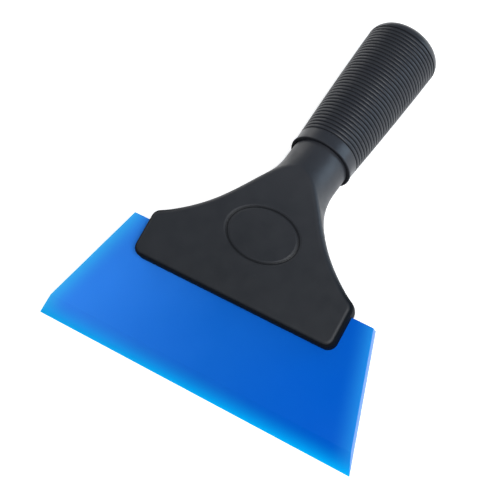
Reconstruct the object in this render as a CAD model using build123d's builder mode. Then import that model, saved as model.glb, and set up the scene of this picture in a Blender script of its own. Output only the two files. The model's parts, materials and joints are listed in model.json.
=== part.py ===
from build123d import *
from math import asin, atan2, cos, hypot, radians, sin, sqrt, tan
import os

# Windshield ice scraper: a flared plastic blade clamped in the head of a hand-sized moulded handle,
# whose round neck is bent back and pushed into a ribbed rubber grip.
#
# Frame: the scraper lies on a table with the blade's sharp edge and the grip's far end touching it.
# +Z is up, +X runs along the sharp edge, +Y from the blade to the grip, and the origin is under the
# middle of the outer box. The head has its own tilted frame, in millimetres from the sharp edge:
# "height" goes up the head towards the grip, "depth" goes out through the front face, and depth 0
# is the blade's back face.

# ---- driving dimensions ----
blade_width = 150.0            # along the sharp edge
blade_height = 55.1            # sharp edge to the blade's square top
blade_thickness = 5.0
blade_flare = 17.9             # degrees that each side leans outward
bevel_height = 8.2
edge_land = 0.4                # blunt width left on the sharp edge

head_width = 95.5
blade_reach = 38.9             # sharp edge to the head's lower edge
end_height = 20.1              # height of the head's short straight ends
jaw_thickness = 5.9            # front jaw, over the blade
cover_thickness = 4.2          # clamp cover, behind the blade
cover_height = 34.0            # clamp cover, from the head's lower edge
corner_round = 4.2             # the head's four corners, seen from the front
front_round = 2.3              # softened rim of the front face
back_round = 1.6
head_wall = 2.6

shoulder_angle = 23.6          # degrees above the sharp edge's direction, where a shoulder starts
shoulder_pull = 12.8           # how far each end of the shoulder curve holds its direction
neck_pull = 20.3
shoulder_run = 25.7            # past the bend, where the shoulders have become the neck
shoulder_steps = 5             # lofted stretches from a shoulder's start to its top
neck_steps = 3                 # and on to the end of the neck
ramp_angle = 35.0              # how steeply the back face runs down to the neck, from the bend on

neck_radius = 12.7
neck_depth = 5.6               # depth of the neck's axis below the bend
crest_depth = 10.5              # depth where the head's rounded sides are widest
bend_height = 76.2             # where the head's and the grip's axes cross
bend_radius = 55.0
grip_bend = 20.3               # degrees that the grip leans back from the head
neck_reach = 35.5              # from the crossing of the axes to the grip's rim

grip_length = 75.2
rim_radius = 14.25
waist_radius = 13.9            # behind the flared rim
waist_reach = 3.0              # from the rim
grip_radius = 16.85            # at the grip's far end
grip_belly = 0.27              # how far the side stands out from a straight taper
grip_round = 6.0
grip_floor = 6.0               # rubber past the end of the bore
mouth_depth = 3.0              # the neck's own seat inside the rim
mouth_gap = 0.4                # dark gap round the neck

spigot_step = 0.9              # how much thinner than the neck the spigot is
spigot_end_gap = 2.0
bead_height = 0.6              # rings on the spigot that hold the grip
bead_width = 3.0
bead_count = 2

rib_count = 33                 # raised rings between the first and last groove
first_groove = 6.8             # from the rim
smooth_end = 6.3               # from the last groove to the far end
groove_depth = 0.5

oval_width = 32.1              # engraved ring on the front face
oval_height = 22.2
oval_centre = 68.4             # from the sharp edge
oval_line = 0.9
oval_depth = 0.4

screw_inset = 14.8             # outer screws, from the head's ends
screw_length = 10.0            # under the head
screw_radius = 1.7
screw_head_radius = 3.5
screw_head_height = 2.2
screw_recess_depth = 1.3
screw_recess_width = 0.9
screw_recess_span = 4.0
screw_sink = 0.3               # heads lie this far under the cover's back
boss_radius = 4.0
top_screw_drop = 7.5           # top screw, below the cover's upper edge
pilot_wall = 1.6               # plastic left in front of the pilot holes
pocket_rib = 1.8
cover_seat = 2.6               # ledge that the cover's upper edge rests on

slot_gap = 0.3                 # over the blade's top and round the bosses
cover_gap = 0.15               # round the cover's edge and the screw heads
fit_gap = 0.05                 # between a round piece and its bore
boss_gap = 0.2                 # bosses stop short of the cover, so that it clamps

# ---- derived sizes ----
head_front = blade_thickness + jaw_thickness
end_top = blade_reach + end_height
cover_top = blade_reach + cover_height
lean = radians(grip_bend)
rim_height = bend_height + neck_reach * cos(lean)
rim_depth = neck_depth - neck_reach * sin(lean)
shoulder_top = bend_height + shoulder_run
screw_spacing = head_width / 2 - screw_inset
spigot_radius = neck_radius - spigot_step
bore_depth = grip_length - grip_floor
spigot_length = bore_depth - spigot_end_gap
straight_side = grip_length - grip_round
rib_pitch = (grip_length - smooth_end - first_groove) / rib_count

# The table touches the sharp edge and the rounded far end of the grip.
end_ring = grip_radius - grip_round
low_height = rim_height + straight_side * cos(lean) - end_ring * sin(lean)
low_depth = rim_depth - straight_side * sin(lean) - end_ring * cos(lean)
rest_tilt = atan2(-low_depth, low_height) + asin(grip_round / hypot(low_height, low_depth))
high_height = rim_height + straight_side * cos(lean) + end_ring * sin(lean)
high_depth = rim_depth - straight_side * sin(lean) + end_ring * cos(lean)
far_end = high_height * cos(rest_tilt) - high_depth * sin(rest_tilt) + grip_round
near_end = -edge_land * sin(rest_tilt)
edge_place = -(far_end + near_end) / 2

# ---- working planes ----
up_head = (0, cos(rest_tilt), sin(rest_tilt))
head = Plane(origin=(0, edge_place, 0), x_dir=(1, 0, 0), z_dir=(0, -sin(rest_tilt), cos(rest_tilt)))
side = Plane(origin=(0, edge_place, 0), x_dir=up_head, z_dir=(1, 0, 0))
grip = Plane(side.location * Location((rim_height, rim_depth, 0), (0, 0, -grip_bend)))
grip_axis = Axis(grip.origin, grip.x_dir)

# Spine of the head and neck: straight up the head, one bend, then along the grip.
with BuildLine(side) as spine:
    bend_point = (bend_height, neck_depth)
    past_rim = (rim_height + mouth_depth * cos(lean), rim_depth - mouth_depth * sin(lean))
    FilletPolyline((0, neck_depth), bend_point, past_rim, radius=bend_radius)

# Shoulder, as half width against height: it leaves the head's end at a slant and ends on the neck.
with BuildLine() as shoulder:
    slant = (cos(radians(shoulder_angle)), sin(radians(shoulder_angle)))
    start = (head_width / 2, end_top)
    leave = (start[0] - shoulder_pull * slant[0], start[1] + shoulder_pull * slant[1])
    curve = Bezier(start, leave, (neck_radius, shoulder_top - neck_pull), (neck_radius, shoulder_top))

# Round sections of shoulders and neck, as radius against distance along the spine. The first goes on
# below the shoulders in their own slant, and the last lies inside the grip. The wider a section is, the
# further its centre stands out in front of the spine, up to the crest depth at the head's full width.
spine_length = spine.wire().length
halfway = 0.5                  # share of an edge's length
crest_slope = (crest_depth - neck_depth) / (head_width / 2 - neck_radius)
below = Vector(start[0] + shoulder_pull * slant[0], end_top - shoulder_pull * slant[1])
stations = [below]
stations += [curve @ (step / shoulder_steps) for step in range(shoulder_steps + 1)]
neck_stretch = (spine_length - shoulder_top) / neck_steps
stations += [Vector(neck_radius, shoulder_top + neck_stretch * (step + 1)) for step in range(neck_steps)]

# Outer form of the closed head with its neck, which the handle body and the clamp cover are cut from.
with BuildPart() as form:
    for station in stations:
        share = station.Y / spine_length
        onward = spine.wire() % share
        seam_at_back = onward.cross(Vector(1, 0, 0))
        crest_rise = crest_slope * (station.X - neck_radius)
        with BuildSketch(Plane(origin=spine.wire() @ share, x_dir=seam_at_back, z_dir=onward)):
            with Locations((-crest_rise, 0)):
                Circle(station.X)
    loft()
    extrude(form.faces().sort_by(Axis(head.origin, head.y_dir))[0], amount=below.Y)
    crest = side.from_local_coords((0, crest_depth))
    with BuildSketch(Plane(origin=crest, x_dir=-head.z_dir, z_dir=head.y_dir)):
        Circle(head_width / 2)
    extrude(amount=shoulder_top + neck_reach, mode=Mode.INTERSECT)
    with BuildSketch(side):
        with BuildLine():
            past_neck = rim_height + neck_reach
            ramp_drop = (past_neck - bend_height) * tan(radians(ramp_angle))
            Polyline(
                (blade_reach, -cover_thickness),
                (blade_reach, head_front),
                (past_neck, head_front),
                (past_neck, -cover_thickness - ramp_drop),
                (bend_height, -cover_thickness),
                close=True,
            )
        make_face()
    extrude(amount=head_width / 2, both=True, mode=Mode.INTERSECT)
    corners = form.edges().filter_by_position(Axis.X, -head_width, -head_width / 2 + corner_round)
    corners += form.edges().filter_by_position(Axis.X, head_width / 2 - corner_round, head_width)
    onwards = [(edge, edge % halfway) for edge in corners]
    through = [edge for edge, way in onwards if abs(way.dot(head.z_dir)) > abs(way.dot(head.y_dir))]
    fillet(through, corner_round)
    # One half takes the soft rims of the front and back faces, and is then mirrored.
    split(bisect_by=Plane.YZ)
    flats = form.faces().filter_by(head).sort_by(Axis(head.origin, head.z_dir))
    fillet(flats[-1].edges().sort_by(Axis.X)[1:], front_round)
    flats = form.faces().filter_by(head).sort_by(Axis(head.origin, head.z_dir))
    rims = flats[0].edges().sort_by(Axis.X)[1:]
    crease = rims.sort_by(Axis(head.origin, head.y_dir))[-1]
    fillet([edge for edge in rims if edge != crease], back_round)
    mirror(about=Plane.YZ)

# ---- places that several pieces share ----
slot_top = blade_height + slot_gap
screw_height = (blade_reach + blade_height) / 2
screw_spots = [(step * screw_spacing, screw_height) for step in (-1, 0, 1)]
top_spot = (0, cover_top - top_screw_drop)
pilot_end = head_front - pilot_wall
seat_depth = -cover_thickness + screw_head_height + screw_sink
inner_curve = curve.moved(Location((-head_wall, -head_wall)))
inner_start = inner_curve @ 0
inner_end = inner_curve @ 1
core_radius = spigot_radius - head_wall
bead_pitch = spigot_length / (bead_count + 1)
bead_spots = [(bead_pitch * step, spigot_radius) for step in range(1, bead_count + 1)]
waist = (waist_reach, waist_radius)
belly = ((waist_reach + straight_side) / 2, (waist_radius + grip_radius) / 2 + grip_belly)
groove_spots = [first_groove - waist_reach + rib_pitch * step for step in range(rib_count + 1)]
groove_side = groove_depth * sqrt(2)
core_start = (rim_depth + core_radius * cos(lean) - (head_front - head_wall)) / sin(lean)

# Handle body: front jaw, roof over the blade, round neck and the hollow spigot inside the grip.
with BuildPart() as handle_body:
    add(form.part)
    with BuildSketch(side):
        Rectangle(slot_top, blade_thickness, align=Align.MIN)
        Rectangle(cover_top + cover_gap, head_width, align=(Align.MIN, Align.MAX))
    extrude(amount=head_width, both=True, mode=Mode.SUBTRACT)

    # Pocket in the roof, closed by the cover, with two ribs and the top screw's post left standing.
    with BuildSketch(head):
        with BuildLine():
            add(inner_curve)
            inner_foot = (inner_start.X, blade_reach)
            Polyline(inner_end, (0, inner_end.Y), (0, blade_reach), inner_foot, inner_start)
        make_face()
        mirror(about=Plane.YZ)
        with Locations((0, slot_top + head_wall)):
            roof_height = cover_top - cover_seat - slot_top - head_wall
            Rectangle(head_width, roof_height, align=(Align.CENTER, Align.MIN), mode=Mode.INTERSECT)
        with GridLocations(screw_spacing, 1, 2, 1):
            Rectangle(pocket_rib, cover_top, align=(Align.CENTER, Align.MIN), mode=Mode.SUBTRACT)
        with Locations(top_spot):
            Circle(boss_radius, mode=Mode.SUBTRACT)
    extrude(amount=head_front - head_wall, mode=Mode.SUBTRACT)

    # Posts that pass through the blade, and the pilot holes of all four screws.
    with BuildSketch(head.offset(boss_gap)):
        with Locations(*screw_spots):
            Circle(boss_radius)
    extrude(amount=blade_thickness - boss_gap)
    with BuildSketch(head):
        with Locations(*screw_spots, top_spot):
            Circle(screw_radius + fit_gap)
    extrude(amount=pilot_end, mode=Mode.SUBTRACT)

    # Hollow spigot with its retaining beads, cored right into the neck.
    with BuildSketch(grip):
        Rectangle(spigot_length, spigot_radius, align=Align.MIN)
        with Locations(*bead_spots):
            Rectangle(bead_width, bead_height, align=(Align.CENTER, Align.MIN))
    revolve(axis=grip_axis)
    with BuildSketch(grip):
        with Locations((core_start, 0)):
            Rectangle(spigot_length - core_start, core_radius, align=Align.MIN)
    revolve(axis=grip_axis, mode=Mode.SUBTRACT)

    # Oval ring engraved in the front face.
    with BuildSketch(head.offset(head_front)):
        with Locations((0, oval_centre)):
            Ellipse((oval_width + oval_line) / 2, (oval_height + oval_line) / 2)
            Ellipse((oval_width - oval_line) / 2, (oval_height - oval_line) / 2, mode=Mode.SUBTRACT)
    extrude(amount=-oval_depth, mode=Mode.SUBTRACT)

# Clamp cover: the back jaw, which the screws draw against the blade and the roof.
with BuildPart() as clamp_cover:
    add(form.part)
    with BuildSketch(side):
        Rectangle(cover_top, head_width, align=(Align.MIN, Align.MAX))
    extrude(amount=head_width, both=True, mode=Mode.INTERSECT)
    with Locations(Plane(head.offset(-cover_thickness).location * Rotation(180, 0, 0))):
        with Locations(*[(across, -height) for across, height in screw_spots + [top_spot]]):
            CounterBoreHole(
                radius=screw_radius + cover_gap,
                counter_bore_radius=screw_head_radius + cover_gap,
                counter_bore_depth=cover_thickness + seat_depth,
            )

# Scraper blade: flared slab with one long bevel on its front, cut for the posts.
with BuildPart() as scraper_blade:
    with BuildSketch(side):
        with BuildLine():
            Polyline(
                (0, 0),
                (blade_height, 0),
                (blade_height, blade_thickness),
                (bevel_height, blade_thickness),
                (0, edge_land),
                close=True,
            )
        make_face()
    extrude(amount=blade_width / 2, both=True)
    with BuildSketch(head):
        with Locations((0, blade_height / 2)):
            Trapezoid(blade_width, blade_height, 90 - blade_flare)
        with Locations(*screw_spots):
            Circle(boss_radius + slot_gap, mode=Mode.SUBTRACT)
    extrude(amount=blade_thickness, mode=Mode.INTERSECT)

# Grip sleeve: soft closed tube, swelling to its far end, with fine ring grooves.
with BuildPart() as grip_sleeve:
    with BuildSketch(grip):
        with BuildLine():
            Line((0, rim_radius), waist)
            swell = ThreePointArc(waist, belly, (straight_side, grip_radius))
            TangentArc(swell @ 1, (grip_length, end_ring), tangent=(1, 0))
            Polyline((grip_length, end_ring), (grip_length, 0), (0, 0), (0, rim_radius))
        make_face()
        with Locations(*[swell @ (spot / (straight_side - waist_reach)) for spot in groove_spots]):
            Rectangle(groove_side, groove_side, rotation=45, mode=Mode.SUBTRACT)
    revolve(axis=grip_axis)
    with BuildSketch(grip):
        Rectangle(bore_depth, spigot_radius + fit_gap, align=Align.MIN)
        Rectangle(mouth_depth, neck_radius + mouth_gap, align=Align.MIN)
        with Locations(*bead_spots):
            Rectangle(bead_width + 2 * fit_gap, bead_height + fit_gap, align=(Align.CENTER, Align.MIN))
    revolve(axis=grip_axis, mode=Mode.SUBTRACT)

os.makedirs("parts", exist_ok=True)

# Four pan-head screws with cross recesses, three through the blade and one above it.
screw_names = ["screw_left", "screw_middle", "screw_right", "screw_top"]
for name, spot in zip(screw_names, screw_spots + [top_spot]):
    seat = Plane(origin=head.from_local_coords((*spot, seat_depth)), x_dir=head.x_dir, z_dir=head.z_dir)
    with BuildPart() as screw:
        with BuildSketch(seat):
            Circle(screw_radius)
        extrude(amount=screw_length)
        chamfer(screw.edges().sort_by(Axis(seat.origin, seat.z_dir))[-1], screw_radius / 2)
        with BuildSketch(seat):
            Circle(screw_head_radius)
        extrude(amount=-screw_head_height)
        head_rim = screw.edges().filter_by(GeomType.CIRCLE).sort_by(Axis(seat.origin, seat.z_dir))[0]
        fillet(head_rim, screw_head_height / 2)
        with BuildSketch(seat.offset(-screw_head_height)):
            Rectangle(screw_recess_span, screw_recess_width)
            Rectangle(screw_recess_width, screw_recess_span)
        extrude(amount=screw_recess_depth, mode=Mode.SUBTRACT)
    screw.part.label = name
    export_step(screw.part, f"parts/{name}.step")

handle_body.part.label = "handle_body"
export_step(handle_body.part, "parts/handle_body.step")
clamp_cover.part.label = "clamp_cover"
export_step(clamp_cover.part, "parts/clamp_cover.step")
scraper_blade.part.label = "scraper_blade"
export_step(scraper_blade.part, "parts/scraper_blade.step")
grip_sleeve.part.label = "grip_sleeve"
export_step(grip_sleeve.part, "parts/grip_sleeve.step")
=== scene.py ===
"""Looks of a windshield ice scraper: soft blue blade, black moulded head and neck, ring-grooved grip.

Everything is in metres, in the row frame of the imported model: +Z up, +X along the blade's sharp edge,
+Y from the blade to the grip.
"""
import json
import logging
import math
from collections.abc import Callable, Sequence
from dataclasses import dataclass, field
from enum import Enum

import bmesh
import bpy
from mathutils import Matrix, Vector


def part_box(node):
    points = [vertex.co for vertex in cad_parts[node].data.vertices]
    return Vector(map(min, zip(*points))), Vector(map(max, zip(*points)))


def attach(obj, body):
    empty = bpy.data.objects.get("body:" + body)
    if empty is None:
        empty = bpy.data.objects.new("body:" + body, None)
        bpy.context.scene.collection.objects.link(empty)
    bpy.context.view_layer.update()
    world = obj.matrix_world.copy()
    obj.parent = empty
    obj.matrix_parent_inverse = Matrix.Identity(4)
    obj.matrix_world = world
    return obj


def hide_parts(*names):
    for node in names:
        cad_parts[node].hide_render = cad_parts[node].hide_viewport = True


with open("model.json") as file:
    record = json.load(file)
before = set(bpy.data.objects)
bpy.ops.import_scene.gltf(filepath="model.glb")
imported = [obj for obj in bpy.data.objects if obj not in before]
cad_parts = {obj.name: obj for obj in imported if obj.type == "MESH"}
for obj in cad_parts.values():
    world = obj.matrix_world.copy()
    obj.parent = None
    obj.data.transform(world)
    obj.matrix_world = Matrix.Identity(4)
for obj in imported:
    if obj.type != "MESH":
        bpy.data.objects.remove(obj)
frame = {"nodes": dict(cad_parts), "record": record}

LOG = logging.getLogger("ice_scraper")
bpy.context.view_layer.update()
ROOT = "root"
MM = 0.001
MERGE_REACH = 0.001 * MM
QUARTER = math.pi / 2
ACROSS = Vector((1.0, 0.0, 0.0))
UPRIGHT = Vector((0.0, 0.0, 1.0))
WHITE = (1.0, 1.0, 1.0, 1.0)

# A triple is a place in metres or a linear colour.
Triple = tuple[float, float, float]
Socket = bpy.types.NodeSocket


class Slot(Enum):
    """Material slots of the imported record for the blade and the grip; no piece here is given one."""

    BLADE = "blue_blade"
    RUBBER = "grip_rubber"


def deselect_all() -> None:
    """Leave nothing selected, so that an operator acts on new work only."""
    bpy.ops.object.select_all(action="DESELECT")


def choose(piece: bpy.types.Object) -> None:
    """Select one piece alone and make it the active one.

    Args:
        piece: the object that the next operators work on.
    """
    deselect_all()
    piece.select_set(True)
    bpy.context.view_layer.objects.active = piece


def in_edit_mode(piece: bpy.types.Object, work: Callable[[], None]) -> None:
    """Run modelling operators on one piece.

    Args:
        piece: the mesh object to shape.
        work: a function that calls edit-mode operators.
    """
    choose(piece)
    bpy.ops.object.mode_set(mode="EDIT")
    work()
    bpy.ops.object.mode_set(mode="OBJECT")


def select_edges(wanted: Callable[[bmesh.types.BMEdge], bool]) -> None:
    """Select the edges that a test accepts, on the piece in edit mode.

    Args:
        wanted: a test of one edge.
    """
    piece = bpy.context.edit_object.data
    mesh = bmesh.from_edit_mesh(piece)
    bpy.ops.mesh.select_all(action="DESELECT")
    for edge in [edge for edge in mesh.edges if wanted(edge)]:
        edge.select = True
    mesh.select_flush(True)
    bmesh.update_edit_mesh(piece)


def frame_at(origin: Vector, first: Vector, second: Vector) -> Matrix:
    """Matrix of a frame that stands in the row frame.

    Args:
        origin: its origin.
        first: direction of its local X, of length one.
        second: direction of its local Y, of length one and square to the first.

    Returns:
        The matrix that takes its coordinates to the row frame.
    """
    turn = Matrix((first, second, first.cross(second))).transposed()
    return Matrix.Translation(origin) @ turn.to_4x4()


def place(piece: bpy.types.Object, where: Matrix) -> None:
    """Put a finished piece in the row frame and write its place into its mesh.

    Args:
        piece: the mesh object, modelled about its own origin.
        where: its place and turn in the row frame.
    """
    piece.matrix_world = where
    choose(piece)
    bpy.ops.object.transform_apply(location=True, rotation=True, scale=True)


def smooth(piece: bpy.types.Object, crease: float) -> None:
    """Shade a piece smooth, with its sharp creases kept.

    Args:
        piece: the mesh object.
        crease: least angle of a crease that is kept, in radians.
    """
    choose(piece)
    bpy.ops.object.shade_smooth_by_angle(angle=crease)


def finish_piece(piece: bpy.types.Object, stands_for: str) -> None:
    """Let a piece ride on the body in place of a CAD node.

    Args:
        piece: the finished mesh object.
        stands_for: the CAD node that it replaces.
    """
    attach(piece, ROOT)
    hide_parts(stands_for)


def dress(names: Sequence[str], finish: bpy.types.Material) -> None:
    """Give CAD nodes a finish of their own.

    Args:
        names: the nodes' names.
        finish: the material for all of them.
    """
    for name in names:
        materials = frame["nodes"][name].data.materials
        materials.clear()
        materials.append(finish)


@dataclass(frozen=True)
class Pattern:
    """Fractal noise over a surface.

    It has a number of cells per metre and of octaves, the finer ones weighted by its fineness. A finish
    uses the stretch of its values from low to high.
    """

    per_metre: float
    octaves: float
    fineness: float = 0.5
    low: float = 0.3
    high: float = 0.7


@dataclass(frozen=True)
class Nodes:
    """A short way to write the node tree of one finish."""

    owner: bpy.types.Material

    @property
    def tree(self) -> bpy.types.NodeTree:
        """The material's node tree."""
        return self.owner.node_tree

    def add(self, kind: str, **settings: object) -> bpy.types.Node:
        """Add a node.

        Args:
            kind: the node's type name.
            settings: its properties.

        Returns:
            The new node.
        """
        node = self.tree.nodes.new(kind)
        for name, value in settings.items():
            setattr(node, name, value)
        return node

    def feed(self, target: Socket, value: Socket | float | Sequence[float]) -> None:
        """Give an input its value.

        Args:
            target: the input.
            value: a socket to link to it, or what to write into it.
        """
        if isinstance(value, Socket):
            self.tree.links.new(value, target)
        else:
            target.default_value = value

    def give(self, name: str, value: Socket | float | Sequence[float]) -> None:
        """Give an input of the material's principled shader its value.

        Args:
            name: the input's name.
            value: a socket to link to it, or what to write into it.
        """
        self.feed(self.tree.nodes["Principled BSDF"].inputs[name], value)

    def spot(self) -> Socket:
        """Object coordinates, which follow the row frame in metres."""
        return self.add("ShaderNodeTexCoord").outputs["Object"]

    def noise(self, pattern: Pattern) -> Socket:
        """Noise on Object coordinates.

        Args:
            pattern: its scale and octaves.

        Returns:
            The plain value from 0 to 1.
        """
        node = self.add("ShaderNodeTexNoise")
        self.feed(node.inputs["Scale"], pattern.per_metre)
        self.feed(node.inputs["Detail"], pattern.octaves)
        self.feed(node.inputs["Roughness"], pattern.fineness)
        self.feed(node.inputs["Vector"], self.spot())
        return node.outputs["Fac"]

    def spread(self, pattern: Pattern, to_low: float, to_high: float) -> Socket:
        """Noise that is spread over a range.

        Args:
            pattern: the noise and the stretch of it in use.
            to_low: what the stretch's low end becomes.
            to_high: what its high end becomes.

        Returns:
            The value within that range.
        """
        return self.remap(self.noise(pattern), pattern.low, pattern.high, to_low, to_high)

    def remap(self, value: Socket, low: float, high: float, to_low: float, to_high: float) -> Socket:
        """Map one range to another, clamped.

        Args:
            value: the socket to map.
            low: start of its range.
            high: end of its range.
            to_low: what low becomes.
            to_high: what high becomes.

        Returns:
            The mapped value.
        """
        node = self.add("ShaderNodeMapRange", clamp=True)
        limits = {"From Min": low, "From Max": high, "To Min": to_low, "To Max": to_high}
        for name, number in limits.items():
            self.feed(node.inputs[name], number)
        self.feed(node.inputs["Value"], value)
        return node.outputs["Result"]

    def math(self, operation: str, first: Socket, second: Socket | float = 0.0) -> Socket:
        """One arithmetic step.

        Args:
            operation: the Math node's operation.
            first: its first operand.
            second: its second operand, where it has one.

        Returns:
            The result.
        """
        node = self.add("ShaderNodeMath", operation=operation)
        self.feed(node.inputs[0], first)
        self.feed(node.inputs[1], second)
        return node.outputs[0]

    def dot(self, vector: Socket, direction: Vector) -> Socket:
        """A vector's share along a direction.

        Args:
            vector: the vector's socket.
            direction: the direction, of length one.

        Returns:
            The signed length.
        """
        node = self.add("ShaderNodeVectorMath", operation="DOT_PRODUCT")
        self.feed(node.inputs[0], vector)
        self.feed(node.inputs[1], direction)
        return node.outputs["Value"]

    def facing(self, direction: Vector, normal: str = "Normal") -> Socket:
        """How far the surface faces along a direction.

        Args:
            direction: the direction, of length one.
            normal: the Geometry node's normal to ask.

        Returns:
            The cosine between the two.
        """
        return self.dot(self.add("ShaderNodeNewGeometry").outputs[normal], direction)

    def along(self, direction: Vector, start: float = 0.0) -> Socket:
        """Distance along a direction of the row frame.

        Args:
            direction: the direction, of length one.
            start: the coordinate that counts as zero.

        Returns:
            The distance in metres.
        """
        return self.math("SUBTRACT", self.dot(self.spot(), direction), start)

    def mix(self, share: Socket, first: Socket | Triple, second: Socket | Triple) -> Socket:
        """Mix two colours.

        Args:
            share: how much of the second colour, from 0 to 1.
            first: a colour socket or a linear colour.
            second: a colour socket or a linear colour.

        Returns:
            The mixed colour.
        """
        node = self.add("ShaderNodeMix", data_type="RGBA")
        self.feed(node.inputs["Factor"], share)
        for name, colour in (("A", first), ("B", second)):
            target = next(i for i in node.inputs if i.name == name and i.type == "RGBA")
            self.feed(target, colour if isinstance(colour, Socket) else (*colour, 1.0))
        return next(o for o in node.outputs if o.type == "RGBA")

    def ramp(self, value: Socket, stops: Sequence[tuple[float, Triple]]) -> Socket:
        """Colours along a value.

        Args:
            value: the socket from 0 to 1.
            stops: place and linear colour of each stop.

        Returns:
            The colour.
        """
        node = self.add("ShaderNodeValToRGB")
        elements = node.color_ramp.elements
        while len(elements) < len(stops):
            elements.new(0.5)
        for element, (spot, colour) in zip(elements, stops):
            element.position = spot
            element.color = (*colour, 1.0)
        self.feed(node.inputs["Fac"], value)
        return node.outputs["Color"]

    def bump(self, height: Socket, depth: float) -> None:
        """Give the shader a bumped normal.

        Args:
            height: the height from 0 to 1.
            depth: what 1 stands for, in metres.
        """
        node = self.add("ShaderNodeBump")
        self.feed(node.inputs["Distance"], depth)
        self.feed(node.inputs["Height"], height)
        self.give("Normal", node.outputs["Normal"])


def new_finish(name: str) -> Nodes:
    """Start a material.

    Args:
        name: the material's name.

    Returns:
        Its node helper.
    """
    material = bpy.data.materials.new(name)
    material.use_nodes = True
    return Nodes(material)


@dataclass
class HeadFrame:
    """The tilted frame of blade and head, found from the blade's box.

    Heights go up the head from the sharp edge and depths go out through its front face.
    """

    blade_height: float = 55.1 * MM
    blade_thickness: float = 5.0 * MM
    tilt: float = field(init=False)
    edge_y: float = field(init=False)

    def __post_init__(self) -> None:
        """Work out the tilt and the sharp edge's place."""
        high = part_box("scraper_blade")[1]
        reach = math.hypot(self.blade_height, self.blade_thickness)
        self.tilt = math.asin(high[2] / reach) - math.atan2(self.blade_thickness, self.blade_height)
        self.edge_y = high[1] - self.blade_height * math.cos(self.tilt)

    def matrix(self) -> Matrix:
        """Frame with local X across, local Y up the head and local Z out through its front."""
        return Matrix.Translation((0.0, self.edge_y, 0.0)) @ Matrix.Rotation(self.tilt, 4, "X")

    def height_axis(self) -> tuple[Vector, float]:
        """Direction up the head, and the sharp edge's own coordinate along it."""
        upwards = Vector((0.0, math.cos(self.tilt), math.sin(self.tilt)))
        return upwards, upwards.y * self.edge_y

    def depth_axis(self) -> Vector:
        """Direction out through the front face."""
        return Vector((0.0, -math.sin(self.tilt), math.cos(self.tilt)))


@dataclass
class SoftBlade:
    """The flared blue blade with its long bevel, drilled for the posts that hold it."""

    head: HeadFrame
    width: float = 150 * MM
    flare: float = math.radians(17.9)
    bevel_height: float = 8.2 * MM
    edge_land: float = 0.4 * MM
    edge_round: float = 0.18 * MM
    round_steps: int = 3
    rounded_from: float = math.radians(20.0)
    crease: float = math.radians(35.0)
    post_steps: tuple[int, ...] = (-1, 0, 1)
    post_spacing: float = 32.95 * MM
    post_height: float = 47.0 * MM
    post_hole: float = 4.3 * MM
    bit_length: float = 15 * MM
    bit_facets: int = 48

    def build(self) -> bpy.types.Object:
        """Model the blade from a cube.

        Returns:
            The finished piece.
        """
        height, thickness = self.head.blade_height, self.head.blade_thickness
        deselect_all()
        bpy.ops.mesh.primitive_cube_add(size=1.0, location=(0.0, height / 2, thickness / 2),
                                        scale=(self.width, height, thickness))
        blade = bpy.context.object
        blade.name = "soft_blade"
        bpy.ops.object.transform_apply(location=True, rotation=True, scale=True)
        in_edit_mode(blade, self.shape)
        for step in self.post_steps:
            self.drill(blade, step * self.post_spacing)
        place(blade, self.head.matrix())
        smooth(blade, self.crease)
        blade.data.materials.append(BlueUrethane(self).build())
        finish_piece(blade, "scraper_blade")
        return blade

    def shape(self) -> None:
        """Flare the sides, cut the bevel and round the edges."""
        slope = math.tan(self.flare)
        for side in (-1, 1):
            self.cut(Vector((side * self.width / 2, 0.0, 0.0)), Vector((side, slope, 0.0)))
        rise = self.head.blade_thickness - self.edge_land
        self.cut(Vector((0.0, 0.0, self.edge_land)), Vector((0.0, -rise, self.bevel_height)))
        select_edges(lambda edge: edge.calc_face_angle(0.0) > self.rounded_from)
        bpy.ops.mesh.bevel(offset=self.edge_round, segments=self.round_steps, clamp_overlap=True)
        bpy.ops.mesh.select_all(action="SELECT")
        bpy.ops.mesh.normals_make_consistent(inside=False)

    def cut(self, spot: Vector, outwards: Vector) -> None:
        """Cut away what lies beyond a plane and close the cut.

        Args:
            spot: a point of the plane.
            outwards: its normal, towards the waste.
        """
        bpy.ops.mesh.select_all(action="SELECT")
        bpy.ops.mesh.bisect(plane_co=spot, plane_no=outwards.normalized(), threshold=MERGE_REACH,
                            use_fill=True, clear_outer=True)

    def drill(self, blade: bpy.types.Object, across: float) -> None:
        """Drill the hole of one post.

        Args:
            blade: the piece, flat in the head's frame.
            across: the hole's place along the blade.
        """
        middle = (across, self.post_height, self.head.blade_thickness / 2)
        deselect_all()
        bpy.ops.mesh.primitive_cylinder_add(vertices=self.bit_facets, radius=self.post_hole,
                                            depth=self.bit_length, location=middle)
        bit = bpy.context.object
        cutter = blade.modifiers.new("post_hole", "BOOLEAN")
        cutter.operation = "DIFFERENCE"
        cutter.object = bit
        choose(blade)
        bpy.ops.object.modifier_apply(modifier=cutter.name)
        choose(bit)
        bpy.ops.object.delete()


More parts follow.
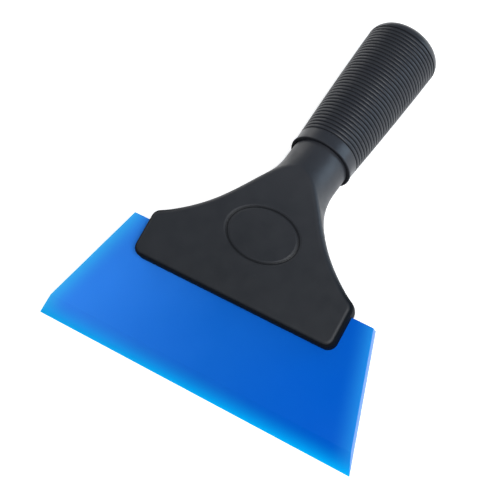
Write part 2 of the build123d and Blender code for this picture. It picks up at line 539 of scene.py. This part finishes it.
@dataclass(frozen=True)
class BlueUrethane:
    """Soft translucent blue plastic, with painted light: a painted falloff along the blade, a painted
    glow at its ends and in the thin bevel, and painted light on its end faces.
    """

    blade: SoftBlade
    # far, middle and near are painted light and shade along the blade: near is the painted lit end, far
    # the painted shaded end.
    far: Triple = (0.000, 0.105, 0.580)
    middle: Triple = (0.006, 0.135, 0.620)
    near: Triple = (0.036, 0.255, 0.930)
    stops: Triple = (0.15, 0.50, 0.95)
    mist: Pattern = Pattern(22.0, 2.0, low=0.2, high=0.8)
    mist_share: float = 0.06
    # Painted glow along the flared ends, weaker at the painted shaded end.
    glow: Triple = (0.040, 0.490, 1.000)
    glow_reach: float = 10 * MM
    far_glow: float = 0.35
    # edge is a painted glow in the thin bevel, brightest at the sharp edge.
    edge: Triple = (0.000, 0.455, 1.000)
    falloff: float = 2.0
    # Painted light on the end faces that face sideways.
    lit_end_face: Triple = (0.215, 0.400, 0.830)
    cut_from: float = 0.5
    cut_to: float = 0.9
    roughness: float = 0.40
    sheen: float = 0.03
    scatter_share: float = 0.1
    scatter_reach: Triple = (0.2, 0.7, 1.0)
    scatter_depth: float = 1.0 * MM
    grain: Pattern = Pattern(900.0, 3.0)
    grain_depth: float = 0.01 * MM

    def body(self, nodes: Nodes, across: Socket) -> Socket:
        """Colour the blade's body with a painted light falloff, paler towards one end and darker towards
        the other.

        Args:
            nodes: the finish's own tree.
            across: distance along the blade from its middle.

        Returns:
            The colour.
        """
        half = self.blade.width / 2
        mist = nodes.spread(self.mist, -self.mist_share, self.mist_share)
        share = nodes.math("ADD", nodes.remap(across, -half, half, 1.0, 0.0), mist)
        return nodes.ramp(share, tuple(zip(self.stops, (self.far, self.middle, self.near))))

    def end_light(self, nodes: Nodes, across: Socket, height: Socket) -> Socket:
        """Find the painted glow along the flared ends.

        Args:
            nodes: the finish's own tree.
            across: distance along the blade from its middle.
            height: distance from the sharp edge.

        Returns:
            Its share of the colour, which is weaker at the darker end.
        """
        half = self.blade.width / 2
        taper = nodes.math("MULTIPLY", height, math.tan(self.blade.flare))
        side = nodes.math("ADD", nodes.math("ABSOLUTE", across), taper)
        near_side = nodes.remap(side, half - self.glow_reach, half, 0.0, 1.0)
        ends = nodes.math("POWER", near_side, self.falloff)
        return nodes.math("MULTIPLY", ends, nodes.remap(across, -half, half, 1.0, self.far_glow))

    def build(self) -> bpy.types.Material:
        """Make the material.

        Returns:
            The finished material.
        """
        nodes = new_finish("blue_urethane")
        height, across = nodes.along(*self.blade.head.height_axis()), nodes.along(ACROSS)
        lit = nodes.mix(self.end_light(nodes, across, height), self.body(nodes, across), self.glow)
        # Painted glow in the thin bevel, brightest at the sharp edge.
        thin = nodes.remap(height, 0.0, self.blade.bevel_height, 1.0, 0.0)
        lit = nodes.mix(nodes.math("POWER", thin, self.falloff), lit, self.edge)
        # Painted light on the sideways end faces.
        sideways = nodes.math("ABSOLUTE", nodes.facing(ACROSS, "True Normal"))
        cut = nodes.remap(sideways, self.cut_from, self.cut_to, 0.0, 1.0)
        nodes.give("Base Color", nodes.mix(cut, lit, self.lit_end_face))
        nodes.give("Roughness", self.roughness)
        nodes.give("Specular IOR Level", self.sheen)
        nodes.give("Subsurface Weight", self.scatter_share)
        nodes.give("Subsurface Radius", self.scatter_reach)
        nodes.give("Subsurface Scale", self.scatter_depth)
        nodes.bump(nodes.noise(self.grain), self.grain_depth)
        return nodes.owner


@dataclass
class RibbedGrip:
    """The soft sleeve: a closed tube with a seat for the neck, rounded ribs and a domed end."""

    length: float = 75.2 * MM
    rim_radius: float = 14.25 * MM
    waist_radius: float = 13.9 * MM
    waist_reach: float = 3.0 * MM
    far_radius: float = 16.85 * MM
    belly: float = 0.27 * MM
    end_round: float = 6.0 * MM
    end_steps: int = 12
    rim_round: float = 0.8 * MM
    lip_round: float = 0.2 * MM
    lip_steps: int = 6
    bore_depth: float = 69.2 * MM
    bore_radius: float = 11.85 * MM
    mouth_depth: float = 3.0 * MM
    mouth_radius: float = 13.1 * MM
    bead_spots: tuple[float, float] = (22.4 * MM, 44.8 * MM)
    bead_width: float = 3.1 * MM
    bead_depth: float = 0.65 * MM
    first_groove: float = 6.8 * MM
    smooth_end: float = 6.3 * MM
    groove_count: int = 34
    groove_depth: float = 0.5 * MM
    steps_per_rib: int = 8
    steps_around: int = 144
    crease: float = math.radians(50.0)

    @property
    def grooved(self) -> float:
        """Distance from the first groove to the last."""
        return self.length - self.smooth_end - self.first_groove

    @property
    def groove_pitch(self) -> float:
        """Distance from groove to groove."""
        return self.grooved / (self.groove_count - 1)

    @property
    def straight(self) -> float:
        """Length of the side, from the rim to where the domed end starts."""
        return self.length - self.end_round

    def radius_at(self, along: float) -> float:
        """Radius of the ribs' crests.

        Args:
            along: distance from the rim.

        Returns:
            The radius there.
        """
        share = (along - self.waist_reach) / (self.straight - self.waist_reach)
        taper = self.waist_radius + (self.far_radius - self.waist_radius) * share
        return taper + 4 * self.belly * share * (1 - share)

    def side(self) -> list[tuple[float, float]]:
        """Draw the side from the flared rim to the last groove, with rounded ribs and narrow grooves.

        Returns:
            Its points, as distance from the rim against radius.
        """
        points = [(self.waist_reach, self.waist_radius)]
        for groove in range(self.groove_count):
            centre = self.first_groove + groove * self.groove_pitch
            for step in range(self.steps_per_rib):
                offset = step / self.steps_per_rib - 0.5
                along = centre + offset * self.groove_pitch
                dip = (1 - 2 * abs(offset)) ** 2
                if along < self.straight:
                    points.append((along, self.radius_at(along) - dip * self.groove_depth))
        return points

    def corner(self, centre: tuple[float, float], radius: float, start: float,
               steps: int) -> list[tuple[float, float]]:
        """Round a corner by a quarter turn, with falling angles.

        Args:
            centre: distance along the axis and radius of the corner's centre.
            radius: the corner's own radius.
            start: angle of its first point.
            steps: how many pieces it has.

        Returns:
            The points, first to last.
        """
        angles = [start - QUARTER * step / steps for step in range(steps + 1)]
        return [(centre[0] + radius * math.cos(a), centre[1] + radius * math.sin(a)) for a in angles]

    def profile(self) -> list[tuple[float, float]]:
        """Draw the whole section, from the bore's floor out to the middle of the domed end.

        Returns:
            Its points, as distance from the rim against radius.
        """
        inner = [(self.bore_depth, 0.0), (self.bore_depth, self.bore_radius)]
        for spot in reversed(self.bead_spots):
            near, far = spot - self.bead_width / 2, spot + self.bead_width / 2
            seat = self.bore_radius + self.bead_depth
            inner += [(far, self.bore_radius), (far, seat), (near, seat), (near, self.bore_radius)]
        inner += [(self.mouth_depth, self.bore_radius), (self.mouth_depth, self.mouth_radius)]
        lip = self.corner((self.lip_round, self.mouth_radius + self.lip_round),
                          self.lip_round, -QUARTER, self.lip_steps)
        rim = self.corner((self.rim_round, self.rim_radius - self.rim_round),
                          self.rim_round, math.pi, self.lip_steps)
        end = self.corner((self.straight, self.far_radius - self.end_round),
                          self.end_round, QUARTER, self.end_steps)
        return inner + lip + rim + self.side() + end + [(self.length, 0.0)]

    def end(self) -> tuple[Vector, Vector]:
        """Centre of the closed end, and the direction from the rim to it."""
        mount = next(mount for mount in frame["record"]["mounts"] if mount["name"] == "grip_end")
        return Vector(mount["pos_m"]), Vector(mount["axis"]).normalized()

    def axis(self) -> tuple[Vector, float]:
        """Direction from the rim to the end, and the rim's own coordinate along it."""
        centre, along = self.end()
        return along, centre.dot(along) - self.length

    def where(self) -> Matrix:
        """Frame with its origin at the rim's centre and local X along the grip."""
        centre, along = self.end()
        return frame_at(centre - self.length * along, along, UPRIGHT.cross(along).normalized())

    def build(self) -> bpy.types.Object:
        """Model the sleeve by spinning its section.

        Returns:
            The finished piece.
        """
        deselect_all()
        bpy.ops.mesh.primitive_plane_add(size=1 * MM)
        grip = bpy.context.object
        grip.name = "ribbed_grip"
        in_edit_mode(grip, self.shape)
        place(grip, self.where())
        smooth(grip, self.crease)
        grip.data.materials.append(GripRubber(self).build())
        finish_piece(grip, "grip_sleeve")
        return grip

    def shape(self) -> None:
        """Draw the section point by point and spin it."""
        points = self.profile()
        bpy.ops.mesh.select_all(action="SELECT")
        bpy.ops.mesh.merge(type="CENTER")
        bpy.ops.transform.translate(value=(*points[0], 0.0))
        for before, after in zip(points, points[1:]):
            step = (after[0] - before[0], after[1] - before[1], 0.0)
            bpy.ops.mesh.extrude_vertices_move(TRANSFORM_OT_translate={"value": step})
        bpy.ops.mesh.select_all(action="SELECT")
        bpy.ops.mesh.spin(steps=self.steps_around, angle=2 * math.pi, center=(0.0, 0.0, 0.0),
                          axis=(1.0, 0.0, 0.0), use_auto_merge=True)
        bpy.ops.mesh.select_all(action="SELECT")
        bpy.ops.mesh.remove_doubles(threshold=MERGE_REACH)
        bpy.ops.mesh.normals_make_consistent(inside=False)


@dataclass(frozen=True)
class GripRubber:
    """Soft black rubber: ribs polished by hands over matt grooves, with painted shade in the grooves and
    a painted shadow at the sleeve's opening, and a little dust in clouds.
    """

    grip: RibbedGrip
    tone: Triple = (0.0290, 0.0320, 0.0400)
    dusty: Triple = (0.036, 0.039, 0.046)
    dust: Pattern = Pattern(90.0, 5.0, low=0.35, high=0.75)
    # groove is painted shade in the grooves and a painted shadow at the sleeve's opening.
    groove: Triple = (0.0025, 0.0035, 0.0065)
    mouth_shadow_reach: float = 0.8 * MM
    rib_edge: float = 0.24
    groove_edge: float = 0.46
    plain_from: float = 0.3
    plain_to: float = 0.5
    polish: Pattern = Pattern(230.0, 4.0)
    smoothest: float = 0.27
    roughest: float = 0.39
    groove_dulling: float = 0.65
    sheen: float = 0.29
    grain: Pattern = Pattern(3400.0, 2.0)
    grain_depth: float = 0.008 * MM

    def crest(self, nodes: Nodes) -> Socket:
        """Tell the ribs' tops from the grooves.

        Args:
            nodes: the finish's own tree.

        Returns:
            Nought in a groove and at the sleeve's opening, where shade is painted; one on a rib, on the
            rim band and on the domed end.
        """
        grip, pitch = self.grip, self.grip.groove_pitch
        along = nodes.along(*grip.axis())
        turns = nodes.math("DIVIDE", nodes.math("SUBTRACT", along, grip.first_groove), pitch)
        ripple = nodes.math("ABSOLUTE", nodes.math("SUBTRACT", nodes.math("FRACT", turns), 0.5))
        rib = nodes.remap(ripple, self.rib_edge, self.groove_edge, 1.0, 0.0)
        half = grip.grooved / 2
        away = nodes.math("ABSOLUTE", nodes.math("SUBTRACT", along, grip.first_groove + half))
        plain = nodes.remap(away, half + self.plain_from * pitch, half + self.plain_to * pitch, 0.0, 1.0)
        # Painted shadow in the gap where the neck enters the sleeve.
        lip = nodes.remap(along, grip.lip_round, self.mouth_shadow_reach, 0.0, 1.0)
        return nodes.math("MULTIPLY", nodes.math("MAXIMUM", rib, plain), lip)

    def build(self) -> bpy.types.Material:
        """Make the material.

        Returns:
            The finished material.
        """
        nodes = new_finish("grip_rubber")
        crest = self.crest(nodes)
        rubber = nodes.ramp(nodes.spread(self.dust, 0.0, 1.0), ((0.0, self.tone), (1.0, self.dusty)))
        # Painted shade in the grooves and a painted shadow at the sleeve's opening, over the rubber's
        # own dusty tone.
        nodes.give("Base Color", nodes.mix(crest, self.groove, rubber))
        polish = nodes.spread(self.polish, self.smoothest, self.roughest)
        matt = nodes.remap(crest, 0.0, 1.0, self.groove_dulling, 0.0)
        nodes.give("Roughness", nodes.math("ADD", polish, matt))
        nodes.give("Specular IOR Level", self.sheen)
        nodes.bump(nodes.noise(self.grain), self.grain_depth)
        return nodes.owner


@dataclass(frozen=True)
class MouldedBlack:
    """Satin black moulded plastic with spark grain, flow clouds and light scuffs.

    It is painted paler up the neck as painted light, and has painted shade on the lower head's walls and
    rim, which are also plain, and in the engraved line of the oval.
    """

    head: HeadFrame
    tone: Triple = (0.0175, 0.0200, 0.0250)
    clouds: Pattern = Pattern(38.0, 4.0, high=0.75)
    cloud_gain: float = 1.15
    # Painted light: the neck is painted paler than the head.
    painted_neck_light: Triple = (0.0310, 0.0340, 0.0420)
    neck_light_from: float = 60 * MM
    neck_light_to: float = 115 * MM
    scuffed: Triple = (0.030, 0.034, 0.040)
    scuffs: Pattern = Pattern(420.0, 6.0, fineness=0.7, low=0.66, high=0.74)
    scuff_share: float = 0.4
    # Painted shade for the lower head's walls and rim and for the oval's engraved line.
    painted_shade_tone: Triple = (0.0038, 0.0054, 0.0080)
    wall_facing: float = 0.80
    face_facing: float = 0.99
    rim_top: float = 58 * MM
    rim_fade: float = 10 * MM
    satin: Pattern = Pattern(160.0, 5.0)
    smoothest: float = 0.39
    roughest: float = 0.50
    rim_dulling: float = 0.2
    sheen: float = 0.38
    rim_sheen: float = 0.057
    oval_width: float = 32.1 * MM
    oval_height: float = 22.2 * MM
    oval_centre: float = 68.4 * MM
    front_from: float = 0.5
    front_to: float = 0.8
    line_shade_share: float = 0.8
    line_core: float = 0.27 * MM
    line_edge: float = 0.63 * MM
    trough_reach: float = 1.2 * MM
    grain: Pattern = Pattern(2600.0, 2.0)
    grain_share: float = 0.05
    relief: float = 0.3 * MM

    def rim(self, nodes: Nodes, facing: Socket) -> Socket:
        """Find the plain rim and walls around the lower head, which get painted shade.

        Args:
            nodes: the finish's own tree.
            facing: cosine to the front.

        Returns:
            One on the walls, nought on the broad faces and on the neck.
        """
        flat = nodes.math("ABSOLUTE", facing)
        turned = nodes.remap(flat, self.wall_facing, self.face_facing, 1.0, 0.0)
        height = nodes.along(*self.head.height_axis())
        low = nodes.remap(height, self.rim_top, self.rim_top + self.rim_fade, 1.0, 0.0)
        return nodes.math("MULTIPLY", turned, low)

    def off_line(self, nodes: Nodes, facing: Socket) -> Socket:
        """Measure the distance from the middle of the oval's engraved line, in metres.

        Args:
            nodes: the finish's own tree.
            facing: cosine to the front.

        Returns:
            The distance on the front face, and a long distance elsewhere.
        """
        upwards, edge = self.head.height_axis()
        height = nodes.along(upwards, edge + self.oval_centre)
        across = nodes.math("DIVIDE", nodes.along(ACROSS), self.oval_width / 2)
        upright = nodes.math("DIVIDE", height, self.oval_height / 2)
        squares = [nodes.math("MULTIPLY", part, part) for part in (across, upright)]
        reach = nodes.math("POWER", nodes.math("ADD", *squares), 0.5)
        off = nodes.math("ABSOLUTE", nodes.math("SUBTRACT", reach, 1.0))
        metres = nodes.math("MULTIPLY", off, (self.oval_width + self.oval_height) / 4)
        return nodes.math("ADD", metres, nodes.remap(facing, self.front_from, self.front_to, 1.0, 0.0))

    def plastic(self, nodes: Nodes) -> Socket:
        """Colour the open faces.

        Args:
            nodes: the finish's own tree.

        Returns:
            The colour with its clouds, its painted light up the neck and its scuffs.
        """
        cloudy = tuple(self.cloud_gain * part for part in self.tone)
        colour = nodes.ramp(nodes.spread(self.clouds, 0.0, 1.0), ((0.0, self.tone), (1.0, cloudy)))
        # Painted light, paler up the neck.
        height = nodes.along(*self.head.height_axis())
        neck_light_share = nodes.remap(height, self.neck_light_from, self.neck_light_to, 0.0, 1.0)
        colour = nodes.mix(neck_light_share, colour, self.painted_neck_light)
        return nodes.mix(nodes.spread(self.scuffs, 0.0, self.scuff_share), colour, self.scuffed)

    def build(self) -> bpy.types.Material:
        """Make the material.

        Returns:
            The finished material.
        """
        nodes = new_finish("moulded_black")
        facing = nodes.facing(self.head.depth_axis())
        rim, off = self.rim(nodes, facing), self.off_line(nodes, facing)
        # Painted shade in the engraved line of the oval.
        line = nodes.remap(off, self.line_core, self.line_edge, self.line_shade_share, 0.0)
        # Painted shade on the lower head's walls and rim.
        colour = nodes.mix(rim, self.plastic(nodes), self.painted_shade_tone)
        nodes.give("Base Color", nodes.mix(line, colour, self.painted_shade_tone))
        satin = nodes.spread(self.satin, self.smoothest, self.roughest)
        nodes.give("Roughness", nodes.math("ADD", satin, nodes.math("MULTIPLY", rim, self.rim_dulling)))
        nodes.give("Specular IOR Level", nodes.remap(rim, 0.0, 1.0, self.sheen, self.rim_sheen))
        grain = nodes.math("MULTIPLY", nodes.noise(self.grain), self.grain_share)
        trough = nodes.remap(off, 0.0, self.trough_reach, 0.0, 1.0)
        nodes.bump(nodes.math("ADD", grain, trough), self.relief)
        return nodes.owner


@dataclass
class MouldedHandle:
    """Head, neck and clamp cover, whose CAD solids are dressed as they are."""

    head: HeadFrame

    def build(self) -> None:
        """Give both mouldings their finish."""
        dress(("handle_body", "clamp_cover"), MouldedBlack(self.head).build())


@dataclass(frozen=True)
class ZincPlate:
    """Bright zinc on the screws, with fine turning marks and a little dulling."""

    tone: Triple = (0.55, 0.56, 0.58)
    dulled: float = 0.7
    marks: Pattern = Pattern(1500.0, 4.0)
    polish: Pattern = Pattern(2400.0, 3.0)
    smoothest: float = 0.26
    roughest: float = 0.46
    grain: Pattern = Pattern(5200.0, 2.0)
    grain_depth: float = 0.006 * MM

    def build(self) -> bpy.types.Material:
        """Make the material.

        Returns:
            The finished material.
        """
        nodes = new_finish("zinc_plate")
        dull = tuple(self.dulled * part for part in self.tone)
        stops = ((self.marks.low, dull), (self.marks.high, self.tone))
        nodes.give("Base Color", nodes.ramp(nodes.noise(self.marks), stops))
        nodes.give("Metallic", 1.0)
        nodes.give("Roughness", nodes.spread(self.polish, self.smoothest, self.roughest))
        nodes.bump(nodes.noise(self.grain), self.grain_depth)
        return nodes.owner


@dataclass
class Screws:
    """The four screws of the clamp cover, whose CAD solids are dressed as they are."""

    prefix: str = "screw_"

    def build(self) -> None:
        """Give the screws their finish."""
        dress([name for name in frame["nodes"] if name.startswith(self.prefix)], ZincPlate().build())


@dataclass(frozen=True)
class Lamp:
    """A square soft light that faces the object: its place, its side, its watts and its colour."""

    name: str
    spot: Triple
    side: float
    power: float
    colour: Triple

    def build(self) -> None:
        """Hang the light."""
        light = bpy.data.lights.new(self.name, "AREA")
        light.shape = "SQUARE"
        light.size = self.side
        light.energy = self.power
        light.color = self.colour
        holder = bpy.data.objects.new(self.name, light)
        holder.location = self.spot
        holder.rotation_euler = (-Vector(self.spot)).to_track_quat("-Z", "Y").to_euler()
        bpy.context.scene.collection.objects.link(holder)


@dataclass
class Studio:
    """White floor, dim even surroundings, soft lights and the camera."""

    camera_place: Triple = (0.1995, -0.2540, 0.5072)
    camera_right: Triple = (0.8417, 0.5280, -0.1125)
    camera_up: Triple = (-0.4059, 0.7563, 0.5131)
    lens: float = 101.4
    sensor: float = 36.0
    nearest: float = 10 * MM
    floor_size: float = 4.0
    floor_tone: Triple = (0.9, 0.9, 0.9)
    floor_roughness: float = 0.9
    floor_lift: float = 0.62
    surroundings: float = 0.11
    lamps: tuple[Lamp, ...] = (
        Lamp("front", (0.56, -0.48, 1.00), 0.8, 14.5, (0.98, 0.99, 1.0)),
        Lamp("left", (-0.98, 0.42, 0.44), 0.7, 3.4, (1.0, 0.99, 0.98)),
        Lamp("right", (1.04, 0.86, 0.32), 0.8, 8.5, (0.62, 0.81, 1.0)),
    )

    def build(self) -> None:
        """Make the floor, the world, the lights and the camera."""
        self.floor()
        self.world()
        for lamp in self.lamps:
            lamp.build()
        self.camera()

    def seen(self, nodes: Nodes) -> Socket:
        """Where the floor itself is seen, straight on, in a reflection or through glass.

        Args:
            nodes: the tree that asks.

        Returns:
            One for such a ray, else nought.
        """
        rays = nodes.add("ShaderNodeLightPath").outputs
        straight_or_mirrored = nodes.math("MAXIMUM", rays["Is Camera Ray"], rays["Is Glossy Ray"])
        return nodes.math("MAXIMUM", straight_or_mirrored, rays["Is Transmission Ray"])

    def floor(self) -> None:
        """A pale floor that keeps the shadow and is lifted to white where it is seen."""
        deselect_all()
        bpy.ops.mesh.primitive_plane_add(size=self.floor_size)
        floor = bpy.context.object
        floor.name = "floor"
        nodes = new_finish("white_floor")
        nodes.give("Base Color", (*self.floor_tone, 1.0))
        nodes.give("Roughness", self.floor_roughness)
        nodes.give("Emission Color", WHITE)
        nodes.give("Emission Strength", nodes.math("MULTIPLY", self.seen(nodes), self.floor_lift))
        floor.data.materials.append(nodes.owner)

    def world(self) -> None:
        """Dim white surroundings, the same from every side."""
        world = bpy.data.worlds.new("studio")
        bpy.context.scene.world = world
        world.use_nodes = True
        background = world.node_tree.nodes["Background"]
        background.inputs["Color"].default_value = WHITE
        background.inputs["Strength"].default_value = self.surroundings

    def camera(self) -> None:
        """Set the camera up."""
        lens = bpy.data.cameras.new("camera")
        lens.lens = self.lens
        lens.sensor_width = self.sensor
        lens.clip_start = self.nearest
        holder = bpy.data.objects.new("camera", lens)
        right, up = Vector(self.camera_right).normalized(), Vector(self.camera_up).normalized()
        holder.matrix_world = frame_at(Vector(self.camera_place), right, up)
        bpy.context.scene.collection.objects.link(holder)
        bpy.context.scene.camera = holder


def main() -> None:
    """Build the scraper in order, then the studio."""
    logging.basicConfig(level=logging.INFO, format="%(name)s: %(message)s")
    bpy.context.scene.view_settings.view_transform = "Standard"
    head = HeadFrame()
    for piece in (SoftBlade(head), RibbedGrip(), MouldedHandle(head), Screws(), Studio()):
        piece.build()
        LOG.info("built %s", type(piece).__name__)


if __name__ == "__main__":
    main()
